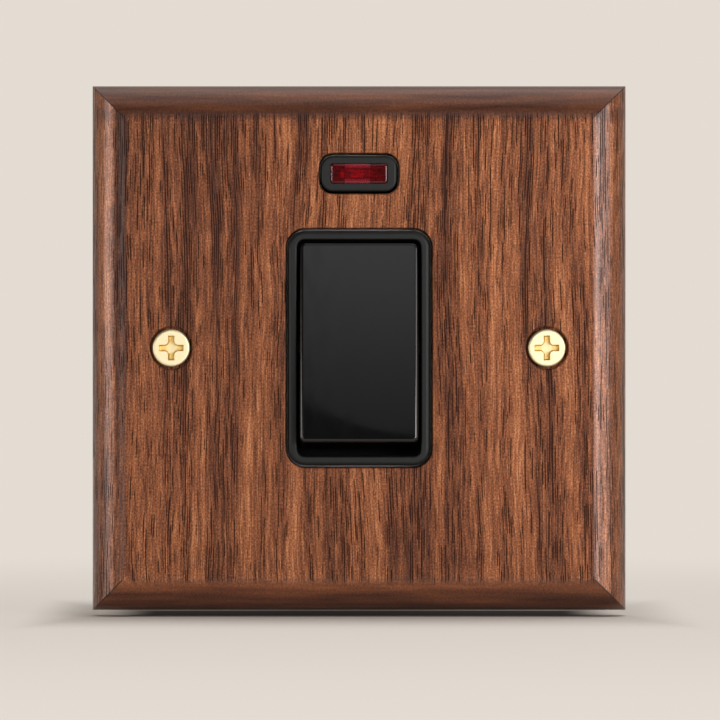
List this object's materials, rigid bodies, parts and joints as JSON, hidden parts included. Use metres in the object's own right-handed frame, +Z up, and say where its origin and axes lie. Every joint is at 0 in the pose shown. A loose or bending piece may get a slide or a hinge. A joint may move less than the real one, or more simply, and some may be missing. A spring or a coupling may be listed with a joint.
{
  "type": "switch plate",
  "caption": "Wood-fronted wall switch plate with a tilting rocker, a red neon indicator, front fixing screws and cable clamp terminals behind.",
  "frame": {"origin": "middle of the plate's back plane, on the line of the fixing screws", "axes": "+X to the right seen from the front, +Y into the wall, +Z up"},
  "size_m": [0.086, 0.039, 0.0844],
  "materials": {
    "wood": "satin lacquer",
    "zinc_steel": "zinc plated",
    "polished_brass": "polished",
    "brass": "machined",
    "copper_strip": "stamped",
    "silver": "satin",
    "spring_steel": "drawn wire",
    "satin_black": "satin moulded",
    "gloss_black": "gloss moulded",
    "moulding_black": "matt moulded",
    "plunger_white": "moulded",
    "red_lens": "clear red",
    "lamp_glass": "clear",
    "nickel_wire": "drawn wire",
    "resistor_body": "lacquered",
    "lead_line": "insulated wire",
    "lead_neutral": "insulated wire"
  },
  "bodies": {
    "plate": {"wood_plate": "wood", "back_plate": "zinc_steel", "back_plate_screws": "zinc_steel", "plate_screws": "polished_brass", "switch_frame": "satin_black", "mechanism_body": "moulding_black", "housing_screws": "zinc_steel", "terminal_screws": "zinc_steel", "neon_bezel": "satin_black", "neon_lens": "red_lens", "neon_housing": "moulding_black", "neon_screws": "zinc_steel", "neon_glass": "lamp_glass", "neon_electrodes": "nickel_wire", "neon_resistor": "resistor_body", "neon_line_lead": "lead_line", "neon_neutral_lead": "lead_neutral", "earth_terminal": "brass", "earth_screw": "zinc_steel", "line_fixed_contact": "silver", "line_load_strip": "copper_strip", "line_supply_strip": "copper_strip", "line_load_terminal": "brass", "line_supply_terminal": "brass", "neutral_fixed_contact": "silver", "neutral_load_strip": "copper_strip", "neutral_supply_strip": "copper_strip", "neutral_load_terminal": "brass", "neutral_supply_terminal": "brass"},
    "rocker": {"rocker": "gloss_black", "line_plunger_spring": "spring_steel", "neutral_plunger_spring": "spring_steel"},
    "line_bridge": {"line_contact_bridge": "copper_strip", "line_moving_contact": "silver"},
    "line_plunger": {"line_plunger": "plunger_white"},
    "neutral_bridge": {"neutral_contact_bridge": "copper_strip", "neutral_moving_contact": "silver"},
    "neutral_plunger": {"neutral_plunger": "plunger_white"}
  },
  "joints": [
    {"name": "rocker_tilt", "type": "hinge", "parent": "plate", "child": "rocker", "pos_m": [0, -0.0052, 0], "axis": [1, 0, 0], "range_deg": [0, 15]},
    {"name": "line_bridge_tilt", "type": "hinge", "parent": "plate", "child": "line_bridge", "pos_m": [-0.0046, 0.0083, 0], "axis": [1, 0, 0], "range_deg": [-16, 0]},
    {"name": "line_plunger_slide", "type": "slide", "parent": "rocker", "child": "line_plunger", "axis": [0, 0.9914, -0.1305], "range_m": [-0.0007, 0.00025], "stiffness_N_per_m": 600, "deforming": ["line_plunger_spring"]},
    {"name": "neutral_bridge_tilt", "type": "hinge", "parent": "plate", "child": "neutral_bridge", "pos_m": [0.0046, 0.0083, 0], "axis": [1, 0, 0], "range_deg": [-16, 0]},
    {"name": "neutral_plunger_slide", "type": "slide", "parent": "rocker", "child": "neutral_plunger", "axis": [0, 0.9914, -0.1305], "range_m": [-0.0007, 0.00025], "stiffness_N_per_m": 600, "deforming": ["neutral_plunger_spring"]}
  ],
  "couplings": [
    {"joint": "line_bridge_tilt", "follows": "rocker_tilt", "ratio": -1.0666},
    {"joint": "neutral_bridge_tilt", "follows": "rocker_tilt", "ratio": -1.0666}
  ]
}
